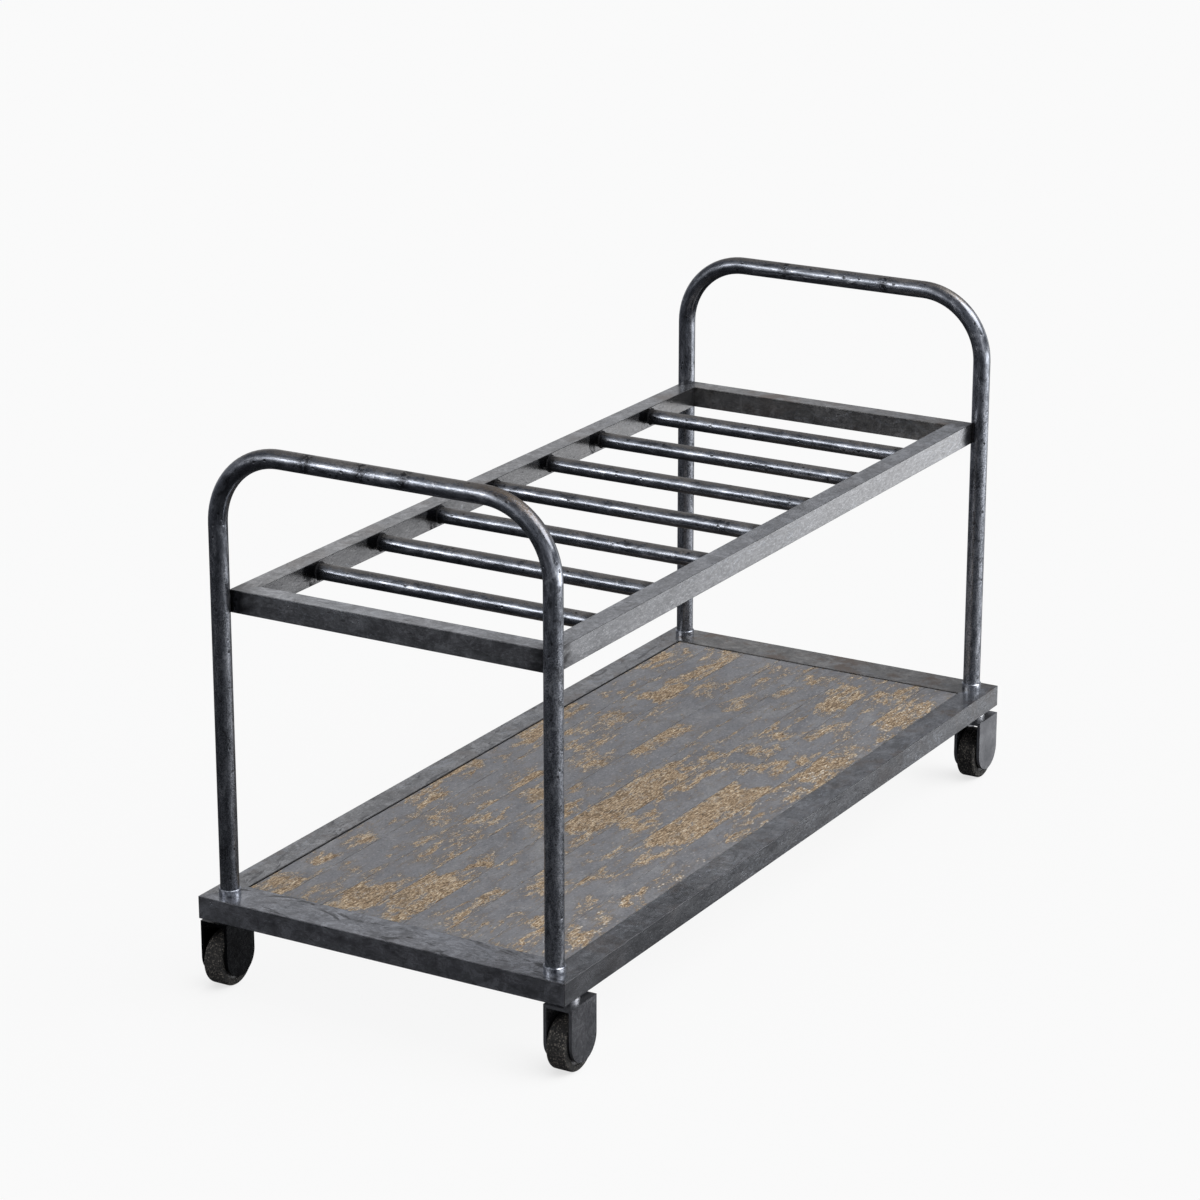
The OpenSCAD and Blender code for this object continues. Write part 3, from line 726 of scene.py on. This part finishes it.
# Brightness near the horizon: degrees from the front, positive towards the right, and radiance
HORIZON = [
    (-180, 0.12), (-165, 0.06), (-156, 0.10), (-153, 0.33), (-149, 0.36), (-143, 0.56), (-130, 0.50),
    (-110, 0.26), (-70, 0.10), (-47, 0.05), (-30, 0.06), (-20, 0.02), (15, 0.0), (27, 0.05), (38, 0.13),
    (50, 0.28), (74, 1.10), (87, 3.10), (101, 5.1), (116, 6.2), (130, 5.4), (139, 2.0), (144, 0.7),
    (148, 0.82), (152, 2.25), (156, 1.40), (165, 1.3), (172, 0.5), (180, 0.12),
]
HORIZON_MAX = max(glow for angle, glow in HORIZON)
# How that brightness falls off below the horizon: sine of the elevation, and share
FALL = [(-0.410, 0.0), (-0.370, 0.02), (-0.335, 0.44), (-0.310, 0.52), (-0.287, 0.68), (-0.262, 1.0)]
# Towards the front right the falloff starts higher: degrees, and the sine added
FALL_SHIFT_FROM, FALL_SHIFT_TO, FALL_SHIFT = 122.0, 147.0, -0.075
# The right side's bright band is cut down above the horizon: degrees round, sines of the elevation, and
# the share that is cut
CUT_FROM, CUT_TO, CUT_SOFT = 72.0, 156.0, 12.0
CUT_LOW, CUT_HIGH, CUT_SHARE = -0.14, 0.06, 0.95
# Soft round lights in the sky: direction, half angle and edge in degrees, and radiance
LIGHT_PANELS = [
    ((-0.515, -0.780, 0.350), 8.0, 3.0, 4.4),
    ((-0.515, -0.780, 0.380), 20.0, 13.0, 0.9),
    ((0.60, 0.25, 0.75), 26.0, 6.0, 4.8),
]
# The dim parts of the studio are cool, and the bright panels are neutral
COOL, NEUTRAL = (0.94, 0.97, 1.06), (1.0, 1.0, 1.0)


def light_panel(g, direction, half_angle, edge, strength):
    """A round soft light in the sky: half_angle degrees in radius, its rim faded edge degrees each way."""
    axis = Vector(direction).normalized()
    turned = g.add("VectorMath", {"operation": "DOT_PRODUCT"}, 1, in0=g.add("TexCoord"), in1=tuple(axis))
    inner = math.cos(math.radians(max(0.0, half_angle - edge)))
    outer = math.cos(math.radians(half_angle + edge))
    return g.step(turned, outer, inner, 0.0, strength)


def studio_light():
    """A studio round the object: bright on its right side, soft panels above, dim elsewhere and below."""
    world = bpy.data.worlds.new("studio")
    world.use_nodes = True
    bpy.context.scene.world = world
    g = Graph(world.node_tree)
    x, y, z = g.split(g.add("TexCoord"))
    around = g.math("ARCTAN2", x, g.math("MULTIPLY", y, -1.0))
    base = g.math("ADD", g.step(z, -0.35, 0.20, 0.07, 0.20), g.step(z, 0.35, 0.75, 0.0, 0.12))
    level = g.add("SeparateColor", Color=g.ramp(
        g.add("MapRange", in0=around, in1=-math.pi, in2=math.pi, in3=0.0, in4=1.0),
        [((angle + 180) / 360, (glow / HORIZON_MAX,) * 3) for angle, glow in HORIZON],
    ))
    shifted = g.math("ADD", z, g.add(
        "MapRange", in0=around, in1=math.radians(FALL_SHIFT_FROM), in2=math.radians(FALL_SHIFT_TO),
        in3=FALL_SHIFT, in4=0.0,
    ))
    fall = g.add("SeparateColor", Color=g.ramp(
        g.add("MapRange", in0=shifted, in1=-1.0, in2=1.0, in3=0.0, in4=1.0),
        [((sine + 1) / 2, (share,) * 3) for sine, share in FALL],
    ))
    band = g.math("MULTIPLY", fall, g.step(z, 0.25, 0.60, HORIZON_MAX, 0.0))
    right = g.window(around, math.radians(CUT_FROM), math.radians(CUT_TO), math.radians(CUT_SOFT))
    cut = g.math("MULTIPLY", right, g.step(z, CUT_LOW, CUT_HIGH, 0.0, CUT_SHARE))
    band = g.math("MULTIPLY", band, g.math("SUBTRACT", 1.0, cut))
    total = g.math("ADD", base, g.math("MULTIPLY", level, band))
    for panel in LIGHT_PANELS:
        total = g.math("ADD", total, light_panel(g, *panel))
    seen_by_camera = g.add("LightPath")
    strength = g.add("Mix", in0=seen_by_camera, in2=total, in3=WHITE)
    tone = g.mix(g.step(strength, 0.10, 0.90), COOL, NEUTRAL)
    background = g.add("Background", Color=tone, Strength=strength)
    g.add("OutputWorld", Surface=background)
    bpy.context.scene.view_settings.view_transform = "Standard"


def floor():
    """The pale floor: seen by the camera only, so that light reaches the object from all sides."""
    mesh = bpy.data.meshes.new("floor")
    half = FLOOR_HALF
    corners = [(-half, -half, 0), (half, -half, 0), (half, half, 0), (-half, half, 0)]
    mesh.from_pydata(corners, [], [(0, 1, 2, 3)])
    piece = bpy.data.objects.new("floor", mesh)
    bpy.context.scene.collection.objects.link(piece)

    made = bpy.data.materials.new("floor_white")
    made.use_nodes = True
    g = Graph(made.node_tree)
    # painted shadow: ambient occlusion, leaning up and towards the right rear, dims the floor's glow near
    # the object
    open_air = g.add("AmbientOcclusion", output=1, Distance=SHADOW_REACH, Normal=g.join(*SHADOW_LEAN))
    glow = g.add(
        "Emission", Color=NEUTRAL, Strength=g.step(open_air, 0.1, 0.78, FLOOR_SHADED, FLOOR_CLEAR),
    )
    matt = g.add("BsdfDiffuse", Color=(FLOOR_MATT,) * 3)
    g.add("OutputMaterial", Surface=g.add("AddShader", in0=glow, in1=matt))
    mesh.materials.append(made)

    piece.visible_diffuse = False
    piece.visible_glossy = False
    piece.visible_shadow = False


# ---------- camera ----------

LENS_MM, SENSOR_MM = 113.435, 36.0
CAMERA_AT = (3.3376, -5.8088, 2.7505)
# Degrees: 90 would be level, and the turn is about Z, away from looking along +Y
CAMERA_TILT, CAMERA_TURN = 71.781, 30.323


def camera():
    """The camera in front, to the right and above, looking down at the middle of the object."""
    lens = bpy.data.cameras.new("camera")
    lens.lens = LENS_MM
    lens.sensor_width = SENSOR_MM
    piece = bpy.data.objects.new("camera", lens)
    piece.location = CAMERA_AT
    piece.rotation_euler = (math.radians(CAMERA_TILT), 0.0, math.radians(CAMERA_TURN))
    bpy.context.scene.collection.objects.link(piece)
    bpy.context.scene.camera = piece


paint_rails()
paint_tubes()
paint_deck()
paint_casters()
paint_fittings()
studio_light()
floor()
camera()
